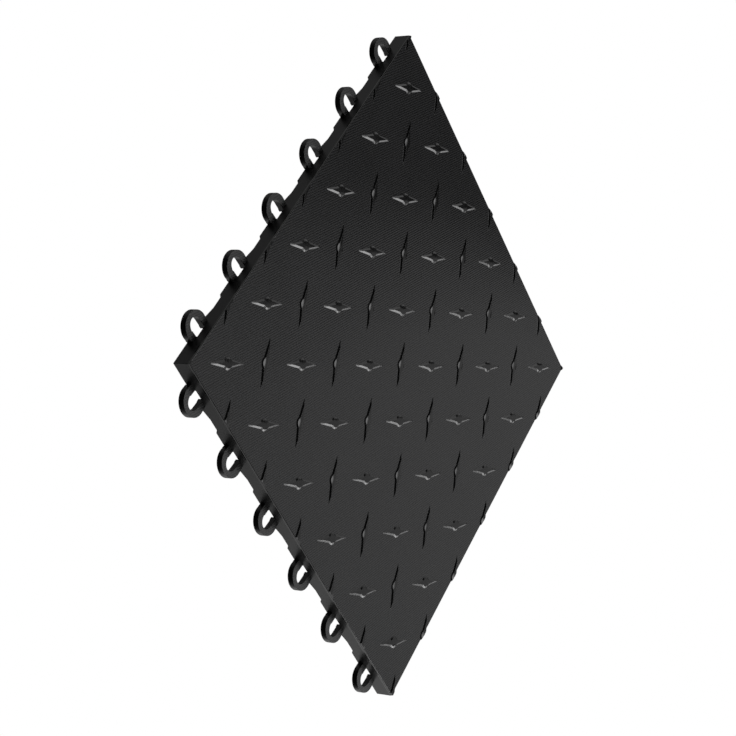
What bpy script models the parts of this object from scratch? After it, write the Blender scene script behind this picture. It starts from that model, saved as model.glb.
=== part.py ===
"""Interlocking floor tile, injection moulded in polypropylene as one piece.

The tile lies flat: +Z is up, z = 0 is the floor, and the origin is the middle of the square body.
Loops stand out of the -X and -Y walls. The +X and +Y walls have the notches and pegs
that take the loops of the next tile. Lengths are in metres.
"""
import math

import bmesh
import bpy

MM = 0.001

# Driving dimensions
SIDE = 303.0 * MM              # body, wall face to wall face
PITCH = 50.8 * MM              # one cell; six make the 304.8 mm step from tile to tile
BODY_HEIGHT = 11.4 * MM        # floor to the plain top of the plate
TREAD_HEIGHT = 1.1 * MM        # lugs above the plate
PLATE = 2.0 * MM               # thickness of the walking plate
WALL = 2.0 * MM                # outer walls
RIB = 1.5 * MM                 # ribs under the plate
CELLS = 6                      # loops on a wall, and tread cells on a side
EDGE_ROUND = 0.6 * MM          # rounding of the top edges
CORNER_ROUND = 0.3 * MM        # rounding of the upright corner edges

HALF = SIDE / 2
GRID_HALF = CELLS * PITCH / 2  # outermost pitch lines, a little outside the body

# Loops: plan sizes are measured from the loop's middle along the wall, and out from the wall.
# The near arm is the one on the side of the corner between the loop walls.
LOOP_AT = 26.6 * MM            # middle of the first loop, from the first pitch line
LOOP_OUT = 4.65 * MM           # centre of the ring, outside the wall
LOOP_OUTER = 9.6 * MM          # outer half-width of the ring
LOOP_OUTER_OUT = 9.4 * MM      # outer radius of the ring, away from the wall
LOOP_INNER = 4.95 * MM         # inner half-width of the ring
LOOP_INNER_OUT = 5.8 * MM      # inner radius of the ring, away from the wall
LOOP_NEAR_FACE = 8.95 * MM     # outer side of the near arm
LOOP_FLARE = 1.1 * MM          # extra width where the near arm runs into the wall
LOOP_HEIGHT = 3.9 * MM
ARC_STEPS = 12

WINDOW_TOP = 4.3 * MM          # windows through the wall, between each loop's arms

# Feet: the wall stands off the floor across each pitch line
FOOT_RISE = 1.75 * MM
FOOT_SLOPE_START = -0.25 * PITCH
FOOT_SLOPE_END = -0.08 * PITCH
FOOT_STEP_START = 0.09 * PITCH
FOOT_STEP_END = 0.14 * PITCH

# Sockets for the next tile's loops
SOCKET_GAP = 0.6 * MM
PEG_RADIUS = 3.4 * MM
PEG_OUT = 5.0 * MM             # peg's centre, in from the wall's outer face
PEG_SIDES = 16

# Tread lugs: long pointed arms, and a wider diamond at the middle. Plan points are measured
# along and across the lug from its middle.
LUG_TIP = (15.5 * MM, 0.0)
LUG_ROOT = (3.4 * MM, 2.4 * MM)        # where an arm meets the diamond
LUG_SIDE = (0.0, 3.85 * MM)            # side corner of the diamond
FLANK_INSET = 1.1 * MM                 # plan width of the steep flanks
ARM_EDGE_HEIGHT = 0.9 * MM             # top of the flanks along the arms
SIDE_EDGE_HEIGHT = 0.55 * MM           # top of the flanks at the diamond's side corners
LUG_SUNK = 1.0 * MM                    # how far the lug's solid reaches into the plate
CELL_LUG_TURN = 45.0                   # lugs in the cells' middles, degrees from +X
CROSS_LUG_TURN = 120.0                 # lugs on the pitch lines' crossings
CELL_LUG_SHIFT = (-0.15 * MM, 0.4 * MM)
CROSS_LUG_SHIFT = (-0.7 * MM, 0.55 * MM)

OVERLAP = 0.5 * MM             # how far joined shapes run into each other
CUT_PAST = 2.0 * MM            # how far cutters run past the material


def clear_scene():
    for item in list(bpy.data.objects):
        bpy.data.objects.remove(item, do_unlink=True)


def new_object(name, shape):
    mesh = bpy.data.meshes.new(name)
    bmesh.ops.recalc_face_normals(shape, faces=shape.faces)
    shape.to_mesh(mesh)
    shape.free()
    item = bpy.data.objects.new(name, mesh)
    bpy.context.scene.collection.objects.link(item)
    return item


def hide_helper(item):
    item.hide_render = True
    item.display_type = "WIRE"


def add_prism(shape, outline, along, reach):
    """Add a closed prism: the outline's 3-D points, and the same points moved by reach along an axis."""
    near = [shape.verts.new(point) for point in outline]
    far = []
    for point in outline:
        moved = list(point)
        moved["xyz".index(along)] += reach
        far.append(shape.verts.new(moved))
    shape.faces.new(near)
    shape.faces.new(far[::-1])
    count = len(near)
    for index in range(count):
        after = (index + 1) % count
        shape.faces.new((near[index], near[after], far[after], far[index]))


def add_loft(shape, rings):
    """Add a closed solid through rings of as many 3-D points, with its two ends filled."""
    rows = [[shape.verts.new(point) for point in ring] for ring in rings]
    count = len(rows[0])
    for lower, upper in zip(rows, rows[1:]):
        for index in range(count):
            after = (index + 1) % count
            shape.faces.new((lower[index], lower[after], upper[after], upper[index]))
    shape.faces.new(rows[0][::-1])
    shape.faces.new(rows[-1])
    return rows


def add_box(shape, low, high):
    outline = [
        (low[0], low[1], low[2]),
        (high[0], low[1], low[2]),
        (high[0], high[1], low[2]),
        (low[0], high[1], low[2]),
    ]
    add_prism(shape, outline, "z", high[2] - low[2])


def on_wall(wall, along, out, height):
    """Place a point by its distance along a wall from the body's middle, and out of the wall."""
    if wall == "-X":
        return (-HALF - out, along, height)
    if wall == "-Y":
        return (along, -HALF - out, height)
    if wall == "+X":
        return (HALF + out, along, height)
    return (along, HALF + out, height)


def loop_middles():
    return [-GRID_HALF + LOOP_AT + index * PITCH for index in range(CELLS)]


def chamfered_square(inset, chamfer):
    """The body's square in plan, moved inwards, with its corners cut off."""
    reach = HALF - inset
    quarter = [(reach, reach - chamfer), (reach - chamfer, reach)]
    half = quarter + [(-y, x) for x, y in quarter]
    return half + [(-x, -y) for x, y in half]


def body_block():
    """The square block with its top edges rounded by two slopes, and its upright edges chamfered."""
    steep = math.pi / 4
    rings = (
        (0, 0),
        (0, BODY_HEIGHT - EDGE_ROUND),
        (EDGE_ROUND * (1 - math.cos(steep)), BODY_HEIGHT - EDGE_ROUND * (1 - math.sin(steep))),
        (EDGE_ROUND, BODY_HEIGHT),
    )
    shape = bmesh.new()
    add_loft(shape, [
        [(x, y, height) for x, y in chamfered_square(inset, CORNER_ROUND)]
        for inset, height in rings
    ])
    return shape


def rib_lines():
    """Middles of the ribs across one direction, in order from the loop wall."""
    lines = [0]
    for index in range(CELLS):
        lines.append(-GRID_HALF + (index + 0.25) * PITCH)
        lines.append(-GRID_HALF + (index + 0.75) * PITCH)
    return sorted(lines)


def underside_cells():
    """The hollows between the ribs, each a box from below the floor up to the plate."""
    shape = bmesh.new()
    starts = [-HALF + WALL] + [line + RIB / 2 for line in rib_lines()]
    ends = [line - RIB / 2 for line in rib_lines()] + [HALF - WALL]
    spans = list(zip(starts, ends))
    for x_low, x_high in spans:
        for y_low, y_high in spans:
            add_box(shape, (x_low, y_low, -CUT_PAST), (x_high, y_high, BODY_HEIGHT - PLATE))
    return shape


def window_cuts():
    """Windows through the loop walls, open to the floor, between the arms of each loop."""
    shape = bmesh.new()
    for wall in ("-X", "-Y"):
        for middle in loop_middles():
            side = [
                (middle - LOOP_INNER + LOOP_FLARE, -CUT_PAST),
                (middle + LOOP_INNER, -CUT_PAST),
                (middle + LOOP_INNER, WINDOW_TOP),
                (middle - LOOP_INNER + LOOP_FLARE, WINDOW_TOP),
            ]
            outline = [on_wall(wall, along, CUT_PAST, height) for along, height in side]
            add_prism(shape, outline, wall[1].lower(), CUT_PAST + WALL + OVERLAP)
    return shape


def foot_cuts():
    """Shallow rises of the loop walls' feet, one across each pitch line."""
    shape = bmesh.new()
    for wall in ("-X", "-Y"):
        for index in range(1, CELLS):
            line = -GRID_HALF + index * PITCH
            side = [
                (line + FOOT_SLOPE_START, -CUT_PAST),
                (line + FOOT_STEP_END, -CUT_PAST),
                (line + FOOT_STEP_END, 0),
                (line + FOOT_STEP_START, FOOT_RISE),
                (line + FOOT_SLOPE_END, FOOT_RISE),
                (line + FOOT_SLOPE_START, 0),
            ]
            outline = [on_wall(wall, along, CUT_PAST, height) for along, height in side]
            add_prism(shape, outline, wall[1].lower(), CUT_PAST + WALL + OVERLAP)
    return shape


def socket_cuts():
    """Notches through the other two walls, for the next tile's loops to enter."""
    shape = bmesh.new()
    half_width = LOOP_OUTER + SOCKET_GAP
    top = LOOP_HEIGHT + SOCKET_GAP
    for wall in ("+X", "+Y"):
        for middle in loop_middles():
            side = [
                (middle - half_width, -CUT_PAST),
                (middle + half_width, -CUT_PAST),
                (middle + half_width, top),
                (middle - half_width, top),
            ]
            outline = [on_wall(wall, along, CUT_PAST, height) for along, height in side]
            add_prism(shape, outline, wall[1].lower(), -(CUT_PAST + WALL + OVERLAP))
    return shape


def loop_outline():
    """Plan of one loop, as (along, out) points: the outer line, then the inner line back."""
    root = -WALL + OVERLAP
    first_angle = -math.acos(LOOP_NEAR_FACE / LOOP_OUTER)
    outer = [(-LOOP_NEAR_FACE, root)]
    for step in range(ARC_STEPS + 1):
        angle = first_angle + (math.pi - first_angle) * step / ARC_STEPS
        along = -LOOP_OUTER * math.cos(angle)
        outer.append((along, LOOP_OUT + LOOP_OUTER_OUT * math.sin(angle)))
    outer.append((LOOP_OUTER, root))
    inner = [(LOOP_INNER, root)]
    for step in range(ARC_STEPS + 1):
        angle = math.pi * step / ARC_STEPS
        along = LOOP_INNER * math.cos(angle)
        inner.append((along, LOOP_OUT + LOOP_INNER_OUT * math.sin(angle)))
    inner.append((-LOOP_INNER + LOOP_FLARE, 0))
    inner.append((-LOOP_INNER + LOOP_FLARE, root))
    return outer + inner


def loops():
    shape = bmesh.new()
    plan = loop_outline()
    for wall in ("-X", "-Y"):
        for middle in loop_middles():
            outline = [on_wall(wall, middle + along, out, 0) for along, out in plan]
            add_prism(shape, outline, "z", LOOP_HEIGHT)
    return shape


def pegs():
    """Round pegs inside the socket walls, which drop into the next tile's loops."""
    shape = bmesh.new()
    for wall in ("+X", "+Y"):
        for middle in loop_middles():
            outline = []
            for step in range(PEG_SIDES):
                angle = 2 * math.pi * step / PEG_SIDES
                along = middle + PEG_RADIUS * math.cos(angle)
                out = -PEG_OUT + PEG_RADIUS * math.sin(angle)
                outline.append(on_wall(wall, along, out, 0))
            add_prism(shape, outline, "z", BODY_HEIGHT - PLATE + OVERLAP)
    return shape


def lug_plan(inset):
    """The lug's outline, moved inwards: eight (along, across) points from one tip around."""
    arm_slope = (LUG_ROOT[1] - LUG_TIP[1]) / (LUG_TIP[0] - LUG_ROOT[0])
    quarter = [(LUG_TIP[0] - inset / arm_slope, 0), (LUG_ROOT[0], LUG_ROOT[1] - inset)]
    side = (LUG_SIDE[0], LUG_SIDE[1] - inset)
    half = quarter + [side, (-LUG_ROOT[0], LUG_ROOT[1] - inset)]
    return half + [(-along, -across) for along, across in half]


def add_lug(shape, centre_x, centre_y, direction):
    """One tread lug: steep flanks, and a low roof that rises to the middle."""
    cosine = math.cos(math.radians(direction))
    sine = math.sin(math.radians(direction))

    def place(along, across, height):
        x = centre_x + along * cosine - across * sine
        y = centre_y + along * sine + across * cosine
        return (x, y, BODY_HEIGHT + height)

    arm = ARM_EDGE_HEIGHT
    edge_heights = (arm, arm, SIDE_EDGE_HEIGHT, arm) * 2
    top = [
        place(along, across, height)
        for (along, across), height in zip(lug_plan(FLANK_INSET), edge_heights)
    ]
    rows = add_loft(shape, [
        [place(along, across, -LUG_SUNK) for along, across in lug_plan(0)],
        [place(along, across, 0) for along, across in lug_plan(0)],
        top,
    ])
    edge = rows[-1]
    lid = next(face for face in edge[0].link_faces if len(face.verts) == len(edge))
    shape.faces.remove(lid)
    peak = shape.verts.new(place(0, 0, TREAD_HEIGHT))
    for index, corner in enumerate(edge):
        shape.faces.new((corner, edge[(index + 1) % len(edge)], peak))


def tread():
    """Lugs on the pitch lines' crossings, and others across them in the cells' middles."""
    shape = bmesh.new()
    for column in range(CELLS + 1):
        for row in range(CELLS + 1):
            centre_x = -GRID_HALF + column * PITCH + CROSS_LUG_SHIFT[0]
            centre_y = -GRID_HALF + row * PITCH + CROSS_LUG_SHIFT[1]
            add_lug(shape, centre_x, centre_y, CROSS_LUG_TURN)
    for column in range(CELLS):
        for row in range(CELLS):
            centre_x = -GRID_HALF + (column + 0.5) * PITCH + CELL_LUG_SHIFT[0]
            centre_y = -GRID_HALF + (row + 0.5) * PITCH + CELL_LUG_SHIFT[1]
            add_lug(shape, centre_x, centre_y, CELL_LUG_TURN)
    return shape


def tread_limit():
    """Everything inside the body's square, where lugs may stand."""
    shape = bmesh.new()
    low = (-HALF, -HALF, 0)
    high = (HALF, HALF, BODY_HEIGHT + TREAD_HEIGHT + CUT_PAST)
    add_box(shape, low, high)
    return shape


def combine(target, operation, helper):
    modifier = target.modifiers.new(helper.name, "BOOLEAN")
    modifier.operation = operation
    modifier.solver = "EXACT"
    modifier.object = helper
    hide_helper(helper)


def polypropylene():
    material = bpy.data.materials.new("black_polypropylene")
    material.use_nodes = True
    shader = material.node_tree.nodes["Principled BSDF"]
    shader.inputs["Base Color"].default_value = (0.005, 0.005, 0.0052, 1)
    shader.inputs["Roughness"].default_value = 0.35
    shader.inputs["Metallic"].default_value = 0
    return material


def build_tile():
    tile = new_object("floor_tile", body_block())
    combine(tile, "DIFFERENCE", new_object("underside_cells", underside_cells()))
    combine(tile, "DIFFERENCE", new_object("window_cuts", window_cuts()))
    combine(tile, "DIFFERENCE", new_object("foot_cuts", foot_cuts()))
    combine(tile, "DIFFERENCE", new_object("socket_cuts", socket_cuts()))
    combine(tile, "UNION", new_object("loops", loops()))
    combine(tile, "UNION", new_object("pegs", pegs()))
    lugs = new_object("tread_lugs", tread())
    combine(lugs, "INTERSECT", new_object("tread_limit", tread_limit()))
    combine(tile, "UNION", lugs)
    tile.data.materials.append(polypropylene())
    return tile


clear_scene()
build_tile()
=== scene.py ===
# %% [markdown]
# # A moulded floor tile with a diamond tread
#
# This lesson dresses one interlocking garage floor tile. The real tile is a single shot of black
# polypropylene: a plate with raised lugs, thin walls, ribs underneath, and connecting loops on two
# sides. The construction model fixes the sizes. Here the same tile is made again with rounded edges
# and crisp lugs, gets its satin plastic, and is lit like a product shot on a white table.

# %% Load the frame
import math

import bmesh
import bpy
from mathutils import Matrix, Quaternion, Vector


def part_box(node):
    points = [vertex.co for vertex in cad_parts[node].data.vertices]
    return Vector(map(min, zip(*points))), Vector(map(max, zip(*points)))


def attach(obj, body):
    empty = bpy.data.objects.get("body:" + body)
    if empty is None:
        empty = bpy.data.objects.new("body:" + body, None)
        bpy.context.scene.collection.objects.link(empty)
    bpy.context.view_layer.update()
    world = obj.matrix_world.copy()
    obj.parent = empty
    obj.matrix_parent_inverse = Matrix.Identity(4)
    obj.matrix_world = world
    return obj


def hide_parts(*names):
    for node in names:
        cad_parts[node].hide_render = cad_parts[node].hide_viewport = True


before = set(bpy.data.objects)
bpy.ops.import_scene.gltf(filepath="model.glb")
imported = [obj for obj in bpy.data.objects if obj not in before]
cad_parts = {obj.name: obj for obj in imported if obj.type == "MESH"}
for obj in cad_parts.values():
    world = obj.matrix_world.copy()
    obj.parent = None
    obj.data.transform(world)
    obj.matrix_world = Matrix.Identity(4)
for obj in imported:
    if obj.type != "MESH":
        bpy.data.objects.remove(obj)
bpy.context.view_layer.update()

# %% [markdown]
# ## Sizes
#
# The tile lies flat with the middle of its square body over the origin. The box of the construction
# model gives the wall faces and the reach of the loops, so that the two models can't drift apart.
# What the box can't tell, such as the thickness of a rib, is stated in millimetres.

# %% Sizes
MM = 0.001
node_low, node_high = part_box("floor_tile")
HALF = node_high.x                     # wall face of the body, from the middle
TREAD_HEIGHT = 1.1 * MM                # lugs above the plate
BODY_HEIGHT = 11.4 * MM
CELLS = 6
PITCH = 50.8 * MM                      # one tread cell, and one loop
GRID_HALF = CELLS * PITCH / 2          # outermost pitch lines
PLATE = 2.0 * MM                       # thickness under the tread
WALL = 2.0 * MM
RIB = 1.5 * MM
EDGE_ROUND = 0.6 * MM                  # top edge of the body
CORNER_ROUND = 0.3 * MM                # upright corner edges of the body
OVERLAP = 0.5 * MM                     # how far joined shapes run into each other
CUT_PAST = 2.0 * MM                    # how far cutters run past the material
print("body", round(2 * HALF / MM, 2), "x", round(BODY_HEIGHT / MM, 2), "mm")

# %% [markdown]
# ## Camera
#
# The tile lies on the table, and the camera looks down on it past one corner. It is rolled by
# about a quarter turn, so that the tile seems to stand on its point, as in the product shot. A long
# lens keeps the far edges nearly parallel to the near ones.

# %% Camera
AIM = Vector((-25.43, -27.34, 11.4)) * MM
CAMERA_DISTANCE = 1.27915              # metres, from the aim
CAMERA_AZIMUTH = math.radians(-135.8534)
CAMERA_ELEVATION = math.radians(34.6235)
CAMERA_ROLL = math.radians(92.0544)
CAMERA_LENS = 98.864                   # focal length in millimetres, on a full-frame sensor
SENSOR_WIDTH = 36


def place_camera():
    level = math.cos(CAMERA_ELEVATION)
    back = Vector((
        level * math.cos(CAMERA_AZIMUTH),
        level * math.sin(CAMERA_AZIMUTH),
        math.sin(CAMERA_ELEVATION),
    ))
    data = bpy.data.cameras.new("camera")
    data.lens = CAMERA_LENS
    data.sensor_width = SENSOR_WIDTH
    camera = bpy.data.objects.new("camera", data)
    bpy.context.scene.collection.objects.link(camera)
    camera.location = AIM + back * CAMERA_DISTANCE
    camera.rotation_mode = "QUATERNION"
    upright = (-back).to_track_quat("-Z", "Y")
    camera.rotation_quaternion = upright @ Quaternion((0, 0, 1), CAMERA_ROLL)
    bpy.context.scene.camera = camera
    return camera


camera = place_camera()
print("camera at", camera.location)

# %% [markdown]
# ## Mesh helpers
#
# A moulded part is easiest to think of as simple solids that are added to a block or cut out of it,
# just as the mould's pockets are milled. The helpers below make closed solids, and Boolean
# modifiers join them. The modifiers are then applied, so that one clean mesh is left.

# %% Mesh helpers


def new_object(name, shape):
    mesh = bpy.data.meshes.new(name)
    bmesh.ops.recalc_face_normals(shape, faces=shape.faces)
    shape.to_mesh(mesh)
    shape.free()
    item = bpy.data.objects.new(name, mesh)
    bpy.context.scene.collection.objects.link(item)
    return item


def bridge(shape, lower, upper):
    """Side faces between two rings of as many vertices."""
    count = len(lower)
    for index in range(count):
        after = (index + 1) % count
        shape.faces.new((lower[index], lower[after], upper[after], upper[index]))


def add_loft(shape, rings):
    """A closed solid through rings of 3-D points, with its two ends filled."""
    rows = [[shape.verts.new(point) for point in ring] for ring in rings]
    for lower, upper in zip(rows, rows[1:]):
        bridge(shape, lower, upper)
    shape.faces.new(rows[0][::-1])
    shape.faces.new(rows[-1])


def rectangle(low, high, height):
    return [
        (low[0], low[1], height),
        (high[0], low[1], height),
        (high[0], high[1], height),
        (low[0], high[1], height),
    ]


def on_wall(wall, along, out, height):
    """Place a point by its distance along a wall from the body's middle, and out of the wall."""
    if wall == "-X":
        return (-HALF - out, along, height)
    if wall == "-Y":
        return (along, -HALF - out, height)
    if wall == "+X":
        return (HALF + out, along, height)
    return (along, HALF + out, height)


def add_wall_cut(shape, wall, side):
    """A prism through a wall, from an outline of (along, height) points."""
    outer = [on_wall(wall, along, CUT_PAST, height) for along, height in side]
    inner = [on_wall(wall, along, -WALL - OVERLAP, height) for along, height in side]
    add_loft(shape, [outer, inner])


def combine(target, operation, helper):
    modifier = target.modifiers.new(helper.name, "BOOLEAN")
    modifier.operation = operation
    modifier.solver = "EXACT"
    modifier.object = helper


def apply_modifiers(item):
    """Bake the modifiers into the mesh and remove the helper objects that they used."""
    bpy.context.view_layer.update()
    graph = bpy.context.evaluated_depsgraph_get()
    mesh = bpy.data.meshes.new_from_object(item.evaluated_get(graph))
    helpers = [modifier.object for modifier in item.modifiers if modifier.type == "BOOLEAN"]
    item.modifiers.clear()
    item.data = mesh
    for helper in helpers:
        bpy.data.objects.remove(helper, do_unlink=True)


# %% [markdown]
# ## Body
#
# The body is a shallow box, open below. The mould leaves a small radius on the top edge, which
# shows as a thin line of light between plate and wall, and an even smaller one on the upright
# corners. A Bevel modifier on the finished part would also catch every rib. The block is lofted
# instead, from rings that shrink along a quarter circle, which keeps both radii apart.

# %% Body
ROUND_STEPS = 4
CORNER_STEPS = 2
CORNER_LEAST = 0.05 * MM               # corner radius where the top ring has shrunk past it


def body_ring(inset, height):
    """The body's square, moved inwards, with small round corners."""
    radius = max(CORNER_ROUND - inset, CORNER_LEAST)
    reach = HALF - inset - radius
    ring = []
    for quarter in range(4):
        middle = math.pi * (0.25 + 0.5 * quarter)
        corner_x = math.copysign(reach, math.cos(middle))
        corner_y = math.copysign(reach, math.sin(middle))
        for step in range(CORNER_STEPS + 1):
            turn = middle + math.pi / 2 * (step / CORNER_STEPS - 0.5)
            ring.append((corner_x + radius * math.cos(turn), corner_y + radius * math.sin(turn), height))
    return ring


def body_block():
    shape = bmesh.new()
    rings = [body_ring(0, 0)]
    for step in range(ROUND_STEPS + 1):
        turn = math.pi / 2 * step / ROUND_STEPS
        inset = EDGE_ROUND * (1 - math.cos(turn))
        rings.append(body_ring(inset, BODY_HEIGHT - EDGE_ROUND * (1 - math.sin(turn))))
    add_loft(shape, rings)
    return shape


print("top edge rounded by", round(EDGE_ROUND / MM, 2), "mm")

# %% [markdown]
# ## Ribs
#
# Under the plate, ribs cross each other and stand on the floor. Cutting the cells out of the block
# is simpler than adding ribs. Each cell narrows a little towards the plate, because a moulded
# pocket needs draft to let go of the steel.

# %% Ribs
DRAFT = 0.25 * MM                      # how much a cell's side leans over its height
RIB_PLACES = (0.25, 0.75)              # ribs in each pitch, as shares of it


def rib_lines():
    """Middles of the ribs, with one more across the middle of the tile."""
    lines = [0]
    for index in range(CELLS):
        for share in RIB_PLACES:
            lines.append(-GRID_HALF + (index + share) * PITCH)
    return sorted(lines)


def underside_cells():
    shape = bmesh.new()
    starts = [-HALF + WALL] + [line + RIB / 2 for line in rib_lines()]
    ends = [line - RIB / 2 for line in rib_lines()] + [HALF - WALL]
    spans = list(zip(starts, ends))
    for x_low, x_high in spans:
        for y_low, y_high in spans:
            wide = rectangle((x_low, y_low), (x_high, y_high), -CUT_PAST)
            narrow = rectangle(
                (x_low + DRAFT, y_low + DRAFT),
                (x_high - DRAFT, y_high - DRAFT),
                BODY_HEIGHT - PLATE,
            )
            add_loft(shape, [wide, narrow])
    return shape


print("ribs each way", len(rib_lines()))

# %% [markdown]
# ## Loops, feet and sockets
#
# Six loops stand out of each of two walls, flush with the floor. A low window through the wall
# lets the loop's hole reach inwards. Between the loops the wall's foot rises off the floor in a
# ramp. The two far walls have the notches that the next tile's loops enter, and a peg behind each.

# %% Loops, feet and sockets
LOOP_AT = 26.6 * MM                    # middle of the first loop, from the first pitch line
LOOP_OUTER = 9.6 * MM                  # half-width of the ring, outside
LOOP_INNER = 4.95 * MM                 # half-width of its hole
LOOP_INNER_OUT = 5.8 * MM              # hole's reach, out of the ring's centre
LOOP_OUT = 4.65 * MM                   # ring's centre, out of the wall
LOOP_OUTER_OUT = -node_low.x - HALF - LOOP_OUT
LOOP_NEAR_FACE = 8.95 * MM             # flat side of the ring's root
LOOP_FLARE = 1.1 * MM                  # how much the hole narrows at the wall
LOOP_HEIGHT = 3.9 * MM
WINDOW_TOP = 4.3 * MM
LOOP_STEPS = 28
LOOP_ROUND = 0.45 * MM
LOOP_ROUND_STEPS = 3
FOOT_RISE = 1.75 * MM
FOOT_SLOPE_START = -0.25 * PITCH
FOOT_SLOPE_END = -0.08 * PITCH
FOOT_STEP_START = 0.09 * PITCH
FOOT_STEP_END = 0.14 * PITCH
SOCKET_GAP = 0.6 * MM
PEG_RADIUS = 3.4 * MM
PEG_OUT = 5.0 * MM
PEG_STEPS = 32
PEG_CHAMFER = 2 * LOOP_ROUND


def loop_middles():
    return [-GRID_HALF + LOOP_AT + index * PITCH for index in range(CELLS)]


def loop_outline():
    """Plan of one loop, as (along, out) points: the outer line, then the inner line back."""
    root = -WALL + OVERLAP
    first_angle = -math.acos(LOOP_NEAR_FACE / LOOP_OUTER)
    outer = [(-LOOP_NEAR_FACE, root)]
    for step in range(LOOP_STEPS + 1):
        angle = first_angle + (math.pi - first_angle) * step / LOOP_STEPS
        outer.append((-LOOP_OUTER * math.cos(angle), LOOP_OUT + LOOP_OUTER_OUT * math.sin(angle)))
    outer.append((LOOP_OUTER, root))
    inner = [(LOOP_INNER, root)]
    for step in range(LOOP_STEPS + 1):
        angle = math.pi * step / LOOP_STEPS
        inner.append((LOOP_INNER * math.cos(angle), LOOP_OUT + LOOP_INNER_OUT * math.sin(angle)))
    inner.append((-LOOP_INNER + LOOP_FLARE, 0))
    inner.append((-LOOP_INNER + LOOP_FLARE, root))
    return outer + inner


def loops():
    shape = bmesh.new()
    plan = loop_outline()
    for wall in ("-X", "-Y"):
        for middle in loop_middles():
            rings = [
                [on_wall(wall, middle + along, out, height) for along, out in plan]
                for height in (0, LOOP_HEIGHT)
            ]
            add_loft(shape, rings)
    rims = [edge for edge in shape.edges if edge.verts[0].co.z == edge.verts[1].co.z]
    bmesh.ops.bevel(
        shape, geom=rims, offset=LOOP_ROUND, segments=LOOP_ROUND_STEPS, profile=0.5, affect="EDGES"
    )
    return shape


def windows():
    shape = bmesh.new()
    for wall in ("-X", "-Y"):
        for middle in loop_middles():
            near = middle - LOOP_INNER + LOOP_FLARE
            far = middle + LOOP_INNER
            side = [(near, -CUT_PAST), (far, -CUT_PAST), (far, WINDOW_TOP), (near, WINDOW_TOP)]
            add_wall_cut(shape, wall, side)
    return shape


def foot_rises():
    shape = bmesh.new()
    for wall in ("-X", "-Y"):
        for index in range(1, CELLS):
            line = -GRID_HALF + index * PITCH
            side = [
                (line + FOOT_SLOPE_START, -CUT_PAST),
                (line + FOOT_STEP_END, -CUT_PAST),
                (line + FOOT_STEP_END, 0),
                (line + FOOT_STEP_START, FOOT_RISE),
                (line + FOOT_SLOPE_END, FOOT_RISE),
                (line + FOOT_SLOPE_START, 0),
            ]
            add_wall_cut(shape, wall, side)
    return shape


def sockets():
    shape = bmesh.new()
    reach = LOOP_OUTER + SOCKET_GAP
    top = LOOP_HEIGHT + SOCKET_GAP
    for wall in ("+X", "+Y"):
        for middle in loop_middles():
            side = [
                (middle - reach, -CUT_PAST),
                (middle + reach, -CUT_PAST),
                (middle + reach, top),
                (middle - reach, top),
            ]
            add_wall_cut(shape, wall, side)
    return shape


def pegs():
    shape = bmesh.new()
    tip = PEG_RADIUS - PEG_CHAMFER
    for wall in ("+X", "+Y"):
        for middle in loop_middles():
            rings = []
            for radius, height in (
                (tip, 0),
                (PEG_RADIUS, PEG_CHAMFER),
                (PEG_RADIUS, BODY_HEIGHT - PLATE + OVERLAP),
            ):
                ring = []
                for step in range(PEG_STEPS):
                    angle = 2 * math.pi * step / PEG_STEPS
                    along = middle + radius * math.cos(angle)
                    ring.append(on_wall(wall, along, -PEG_OUT + radius * math.sin(angle), height))
                rings.append(ring)
            add_loft(shape, rings)
    return shape


print("loops along each wall at", [round(middle / MM, 1) for middle in loop_middles()], "mm")

# %% [markdown]
# ## Tread lugs
#
# A diamond tread has two sets of lugs that cross each other's direction. Each lug has two long
# arms with narrow blunt ends, and a wider diamond at its middle. Its flanks are steep and catch the
# light, and its top is a low roof that rises to a point. The lug is built from an outline that is
# inset as it goes up, then the sharp edges get a tiny round, because no mould is perfectly crisp.

# %% Tread lugs
LUG_TIP = (15.1 * MM, 0.4 * MM)        # blunt end of an arm: along, across
LUG_ROOT = (3.4 * MM, 2.4 * MM)        # where an arm meets the diamond
LUG_SHOULDER = (1.7 * MM, 3.5 * MM)    # corner of the diamond
LUG_BOTTOM = (0.4 * MM, 3.85 * MM)     # end of the diamond's short blunt side
FLANK_INSET = 1.1 * MM                 # plan width of the steep flanks
ARM_EDGE_HEIGHT = 0.9 * MM             # top of the flanks along the arms
SHOULDER_EDGE_HEIGHT = 0.7 * MM
BOTTOM_EDGE_HEIGHT = 0.55 * MM
RIDGE_END = 0.05 * MM                  # half-width that is left at the end of an arm's ridge
LUG_SUNK = 0.8 * MM                    # how far a lug runs down into the plate
LUG_ROUND = 0.12 * MM
LUG_ROUND_STEPS = 2
CRISP_ANGLE = math.radians(12)         # edges that turn more than this are rounded
CELL_LUG_TURN = math.radians(45)       # lugs in the middle of a cell
CROSS_LUG_TURN = math.radians(120)     # lugs where pitch lines cross
CELL_LUG_SHIFT = (-0.15 * MM, 0.4 * MM)
CROSS_LUG_SHIFT = (-0.7 * MM, 0.55 * MM)


def lug_ring(inset, heights):
    """The lug's outline, moved inwards: from one tip along a side to the other tip, and back."""
    arm_slope = (LUG_ROOT[1] - LUG_TIP[1]) / (LUG_TIP[0] - LUG_ROOT[0])
    tip_across = max(LUG_TIP[1] - inset, RIDGE_END)
    tip = LUG_TIP[0] - (inset - LUG_TIP[1] + tip_across) / arm_slope
    quarter = [
        (tip, tip_across, heights[0]),
        (LUG_ROOT[0], LUG_ROOT[1] - inset, heights[0]),
        (LUG_SHOULDER[0], LUG_SHOULDER[1] - inset, heights[1]),
        (LUG_BOTTOM[0], LUG_BOTTOM[1] - inset, heights[2]),
    ]
    upper = quarter + [(-along, across, height) for along, across, height in quarter[::-1]]
    return upper + [(-along, -across, height) for along, across, height in upper]


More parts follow.
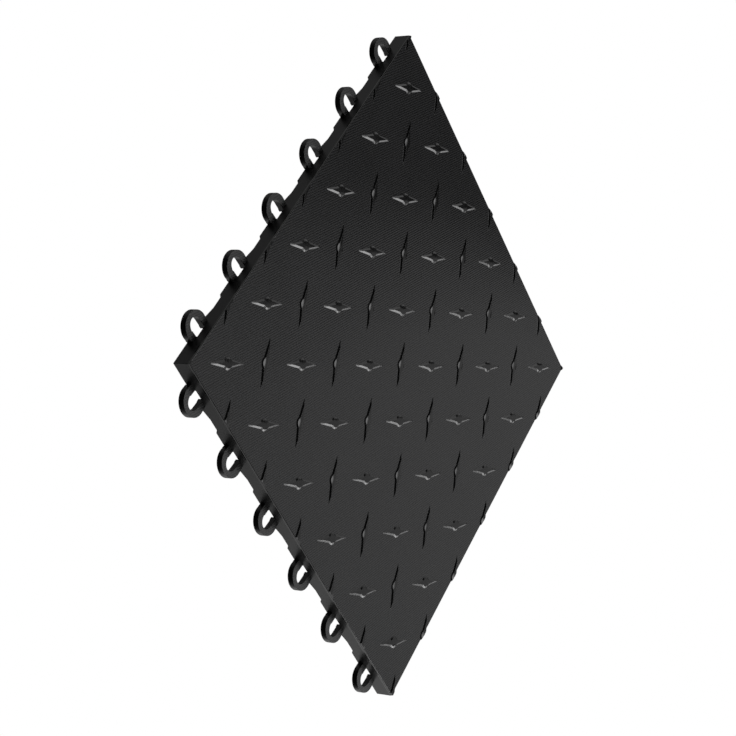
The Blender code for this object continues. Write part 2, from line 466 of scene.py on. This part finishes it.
def add_lug(shape, centre_x, centre_y, turn):
    place = Matrix.Translation((centre_x, centre_y, BODY_HEIGHT)) @ Matrix.Rotation(turn, 4, "Z")

    def vert(along, across, height):
        return shape.verts.new(place @ Vector((along, across, height)))

    edge_heights = (ARM_EDGE_HEIGHT, SHOULDER_EDGE_HEIGHT, BOTTOM_EDGE_HEIGHT)
    bottom = [vert(*point) for point in lug_ring(0, (-LUG_SUNK,) * 3)]
    foot = [vert(*point) for point in lug_ring(0, (0,) * 3)]
    edge = [vert(*point) for point in lug_ring(FLANK_INSET, edge_heights)]
    shape.faces.new(bottom[::-1])
    bridge(shape, bottom, foot)
    bridge(shape, foot, edge)
    peak = vert(0, 0, TREAD_HEIGHT)
    half = len(edge) // 2
    for start in (0, half):
        side = [edge[start + step] for step in range(half)]
        for first, second in zip(side[1:], side[2:-1]):
            shape.faces.new((first, second, peak))
    for start in (half - 1, 2 * half - 1):
        tip = [edge[(start + step) % len(edge)] for step in range(-1, 3)]
        shape.faces.new((tip[0], tip[1], tip[2], tip[3]))
        shape.faces.new((tip[0], tip[3], peak))


def tread():
    shape = bmesh.new()
    for column in range(CELLS + 1):
        for row in range(CELLS + 1):
            centre_x = -GRID_HALF + column * PITCH + CROSS_LUG_SHIFT[0]
            centre_y = -GRID_HALF + row * PITCH + CROSS_LUG_SHIFT[1]
            add_lug(shape, centre_x, centre_y, CROSS_LUG_TURN)
    for column in range(CELLS):
        for row in range(CELLS):
            centre_x = -GRID_HALF + (column + 0.5) * PITCH + CELL_LUG_SHIFT[0]
            centre_y = -GRID_HALF + (row + 0.5) * PITCH + CELL_LUG_SHIFT[1]
            add_lug(shape, centre_x, centre_y, CELL_LUG_TURN)
    bmesh.ops.recalc_face_normals(shape, faces=shape.faces)
    crisp = [
        edge for edge in shape.edges
        if min(vert.co.z for vert in edge.verts) > BODY_HEIGHT - LUG_SUNK / 2
        and edge.calc_face_angle(0) > CRISP_ANGLE
    ]
    bmesh.ops.bevel(
        shape, geom=crisp, offset=LUG_ROUND, segments=LUG_ROUND_STEPS, profile=0.5,
        affect="EDGES", clamp_overlap=True,
    )
    return shape


def tread_limit():
    """The body's square, less its rounded edge, where lugs may stand."""
    shape = bmesh.new()
    reach = HALF - EDGE_ROUND / 2
    low = (-reach, -reach)
    high = (reach, reach)
    add_loft(shape, [rectangle(low, high, 0), rectangle(low, high, 2 * BODY_HEIGHT)])
    return shape


print("lugs, with those cut off at the edges:", (CELLS + 1) ** 2 + CELLS ** 2)

# %% [markdown]
# ## Join the tile
#
# Pockets and notches are cut out of the block first, then what stands out of it is added. The lugs
# are cut to the body's square before they join it. Smooth shading with sharp edges past an angle
# keeps the flat faces flat and the rounds round.

# %% Join the tile
SMOOTH_ANGLE = math.radians(32)        # edges that turn more than this stay sharp


def make_tile():
    lugs = new_object("tread_lugs", tread())
    combine(lugs, "INTERSECT", new_object("tread_limit", tread_limit()))
    apply_modifiers(lugs)
    tile = new_object("tread_tile", body_block())
    combine(tile, "DIFFERENCE", new_object("cells", underside_cells()))
    combine(tile, "DIFFERENCE", new_object("window_cuts", windows()))
    combine(tile, "DIFFERENCE", new_object("foot_cuts", foot_rises()))
    combine(tile, "DIFFERENCE", new_object("socket_cuts", sockets()))
    combine(tile, "UNION", new_object("loops", loops()))
    combine(tile, "UNION", new_object("pegs", pegs()))
    combine(tile, "UNION", lugs)
    apply_modifiers(tile)
    tile.data.shade_smooth()
    tile.data.set_sharp_from_angle(angle=SMOOTH_ANGLE)
    weighted = tile.modifiers.new("flat faces lead", "WEIGHTED_NORMAL")
    weighted.keep_sharp = True
    return tile


tile = make_tile()
tile.data.calc_loop_triangles()
print("tile has", len(tile.data.loop_triangles), "triangles")

# %% [markdown]
# ## Shader maths
#
# Node trees are easier to read as formulas. A Wire wraps one socket, and adding, multiplying or
# comparing wires adds the Math nodes. All else comes from the one method that makes a node.

# %% Shader maths


class Wire:
    """One output socket, with arithmetic and comparison."""

    def __init__(self, recipe, socket):
        self.recipe = recipe
        self.socket = socket

    def math(self, operation, first, second):
        return self.recipe.node("ShaderNodeMath", {"operation": operation}, {0: first, 1: second})

    def __add__(self, other):
        return self.math("ADD", self, other)

    __radd__ = __add__

    def __mul__(self, other):
        return self.math("MULTIPLY", self, other)

    __rmul__ = __mul__

    def __sub__(self, other):
        return self.math("SUBTRACT", self, other)

    def __rsub__(self, other):
        return self.math("SUBTRACT", other, self)

    def __gt__(self, other):
        return self.math("GREATER_THAN", self, other)

    def __lt__(self, other):
        return self.math("LESS_THAN", self, other)


class Recipe:
    """A material or world node tree that is written as formulas."""

    def __init__(self, owner):
        owner.use_nodes = True
        self.tree = owner.node_tree
        self.tree.nodes.clear()

    def node(self, kind, settings=None, inputs=None, output=0):
        node = self.tree.nodes.new(kind)
        for name, value in (settings or {}).items():
            setattr(node, name, value)
        for name, value in (inputs or {}).items():
            if isinstance(value, Wire):
                self.tree.links.new(value.socket, node.inputs[name])
            else:
                node.inputs[name].default_value = value
        return Wire(self, node.outputs[output]) if node.outputs else node


# %% [markdown]
# ## Polypropylene
#
# Black polypropylene is a satin plastic: it has almost no colour of its own, and shows what it
# reflects. The walking face carries fine parallel lines from the mould, about one and a half
# millimetres apart. They are far too shallow to model, so they are a Bump that only the level plate
# receives, with a slightly greyer tone on their crests. A fine noise in the same Bump is the grain,
# and its heights are in metres. The walls and loops are duller than the walking face. A faint, broad
# noise varies the roughness a little, so that the shine isn't quite even.

# %% Polypropylene
LINE_PITCH = 1.482 * MM
LINE_ACROSS = math.radians(154.7)      # direction across the lines, from +X
LINE_DEPTH = 0.03 * MM
LEVEL_FACE = 0.995                     # least upward share of a normal that counts as level
PLATE_MARGIN = 0.1 * MM                # what lies higher than this over the plate is a lug
GRAIN_SIZE = 0.5 * MM
GRAIN_DEPTH = 0.006 * MM
GRAIN_DETAIL = 3.0
PLASTIC_COLOUR = (0.005, 0.005, 0.0052, 1)
CREST_COLOUR = (0.032, 0.032, 0.033, 1)
PLASTIC_IOR = 1.49
FACE_ROUGHNESS = 0.18                  # plate, lugs and rounded edge
SIDE_ROUGHNESS = 0.42                  # walls, loops and ribs
SIDE_TOP = BODY_HEIGHT - 2 * EDGE_ROUND
WEAR_SIZE = 25 * MM
WEAR_DETAIL = 4.0
WEAR_SPREAD = 0.06                     # how much the roughness varies


def polypropylene():
    material = bpy.data.materials.new("black polypropylene")
    recipe = Recipe(material)
    place = recipe.node("ShaderNodeNewGeometry", output="Position")
    facing = recipe.node("ShaderNodeNewGeometry", output="True Normal")
    up = recipe.node("ShaderNodeSeparateXYZ", inputs={0: facing}, output="Z")
    height = recipe.node("ShaderNodeSeparateXYZ", inputs={0: place}, output="Z")
    on_plate = (up > LEVEL_FACE) * (height < BODY_HEIGHT + PLATE_MARGIN)
    turn = 2 * math.pi / LINE_PITCH
    across = (turn * math.cos(LINE_ACROSS), turn * math.sin(LINE_ACROSS), 0)
    phase = recipe.node(
        "ShaderNodeVectorMath", {"operation": "DOT_PRODUCT"}, {0: place, 1: across}, output="Value"
    )
    lines = recipe.node("ShaderNodeMath", {"operation": "SINE"}, {0: phase})
    grain = recipe.node(
        "ShaderNodeTexNoise",
        inputs={"Vector": place, "Scale": 1 / GRAIN_SIZE, "Detail": GRAIN_DETAIL},
        output="Fac",
    )
    relief = lines * on_plate * (LINE_DEPTH / 2) + grain * GRAIN_DEPTH
    bump = recipe.node(
        "ShaderNodeBump", inputs={"Height": relief, "Distance": 1.0, "Strength": 1.0}
    )
    wear = recipe.node(
        "ShaderNodeTexNoise",
        inputs={"Vector": place, "Scale": 1 / WEAR_SIZE, "Detail": WEAR_DETAIL},
        output="Fac",
    )
    crests = (lines * 0.5 + 0.5) * on_plate
    # A Mix node's two colours are its inputs 6 and 7, and their mix is its output 2.
    tone = recipe.node(
        "ShaderNodeMix",
        {"data_type": "RGBA"},
        {"Factor": crests, 6: PLASTIC_COLOUR, 7: CREST_COLOUR},
        output=2,
    )
    on_side = height < SIDE_TOP
    dullness = FACE_ROUGHNESS + on_side * (SIDE_ROUGHNESS - FACE_ROUGHNESS)
    roughness = dullness + (wear - 0.5) * WEAR_SPREAD
    shader = recipe.node(
        "ShaderNodeBsdfPrincipled",
        inputs={
            "Base Color": tone,
            "Roughness": roughness,
            "IOR": PLASTIC_IOR,
            "Normal": bump,
        },
    )
    recipe.node("ShaderNodeOutputMaterial", inputs={"Surface": shader})
    return material


tile.data.materials.clear()
tile.data.materials.append(polypropylene())
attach(tile, "root")
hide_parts("floor_tile")
print("finish:", tile.data.materials[0].name)

# %% [markdown]
# ## Floor and light
#
# The product shot stands against pure white. A floor that glows does the same: it shows as plain
# white, without a shadow. Left to itself it would also light the walls and loops from below, and
# they are nearly black in the shot. So the floor is hidden from the plastic. The plastic shows what
# it reflects and little else, so the studio is a dark room with a few soft glows in it. Each glow is
# placed where one kind of facet mirrors the camera: high up for the lugs' near roofs, about level
# with the table for their flanks and the rounded edges, and below it for the walls. The side behind
# the camera stays dark, which blackens the near flanks. A softbox at the side gives the brightest
# flanks. A dim one stands closer, where the plate mirrors the camera, and being close it shades the
# plate from one end to the other.

# %% Floor and light
WHITE = (1, 1, 1, 1)
FLOOR_REACH = 30.0
FLOOR_GLOW = 1.0
ROOM_STRENGTH = 0.025
ROOM_GLOWS = (                         # azimuth from +X, elevation, reach in degrees, strength
    (56, 62, 22, 3.8),                 # near roofs of the lugs' diamonds
    (82, 14, 26, 0.6),                 # flanks of the cell lugs, +Y side
    (19, -2, 24, 1.9),                 # flanks of the cell lugs, -Y side
    (135, 6, 38, 0.8),                 # rounded edge over the -X wall
    (315, 12, 32, 1.8),                # rounded edge over the -Y wall
    (342, -16, 36, 1.2),               # -Y wall, from the side
    (125, -28, 35, 0.2),               # -X wall
    (325, -28, 35, 0.3),               # -Y wall
)


def emission(material, strength):
    recipe = Recipe(material)
    glow = recipe.node("ShaderNodeEmission", inputs={"Color": WHITE, "Strength": strength})
    recipe.node("ShaderNodeOutputMaterial", inputs={"Surface": glow})


def make_floor():
    shape = bmesh.new()
    corners = rectangle((-FLOOR_REACH, -FLOOR_REACH), (FLOOR_REACH, FLOOR_REACH), 0)
    shape.faces.new([shape.verts.new(corner) for corner in corners])
    floor = new_object("floor", shape)
    material = bpy.data.materials.new("white table")
    emission(material, FLOOR_GLOW)
    floor.data.materials.append(material)
    floor.visible_glossy = False
    floor.visible_diffuse = False


def toward(azimuth, elevation):
    """Unit vector from the tile, by its direction in degrees."""
    turn = math.radians(azimuth)
    rise = math.radians(elevation)
    return Vector((
        math.cos(rise) * math.cos(turn),
        math.cos(rise) * math.sin(turn),
        math.sin(rise),
    ))


def soft_light(name, azimuth, elevation, distance, size, power):
    """A round area light that faces the tile, placed by its direction in degrees."""
    data = bpy.data.lights.new(name, "AREA")
    data.shape = "DISK"
    data.size = size
    data.energy = power
    light = bpy.data.objects.new(name, data)
    bpy.context.scene.collection.objects.link(light)
    away = toward(azimuth, elevation)
    light.location = away * distance
    light.rotation_mode = "QUATERNION"
    light.rotation_quaternion = away.to_track_quat("Z", "Y")


make_floor()
soft_light("side softbox", azimuth=-6, elevation=28, distance=1.5, size=0.95, power=11.5)
soft_light("plate softbox", azimuth=34, elevation=31, distance=1.0, size=0.57, power=0.31)


def studio_room():
    """World that is dim all round, with a smooth glow about each of the listed directions."""
    world = bpy.data.worlds.new("studio")
    bpy.context.scene.world = world
    room = Recipe(world)
    direction = room.node("ShaderNodeTexCoord", output="Generated")
    strength = ROOM_STRENGTH
    for azimuth, elevation, reach, brightness in ROOM_GLOWS:
        closeness = room.node(
            "ShaderNodeVectorMath",
            {"operation": "DOT_PRODUCT"},
            {0: direction, 1: toward(azimuth, elevation)},
            output="Value",
        )
        share = room.node(
            "ShaderNodeMapRange",
            {"interpolation_type": "SMOOTHSTEP"},
            {"Value": closeness, "From Min": math.cos(math.radians(reach)), "From Max": 1.0},
        )
        strength = share * brightness + strength
    background = room.node("ShaderNodeBackground", inputs={"Color": WHITE, "Strength": strength})
    room.node("ShaderNodeOutputWorld", inputs={"Surface": background})


studio_room()
bpy.context.scene.view_settings.view_transform = "Standard"
print("glows in the room", len(ROOM_GLOWS))
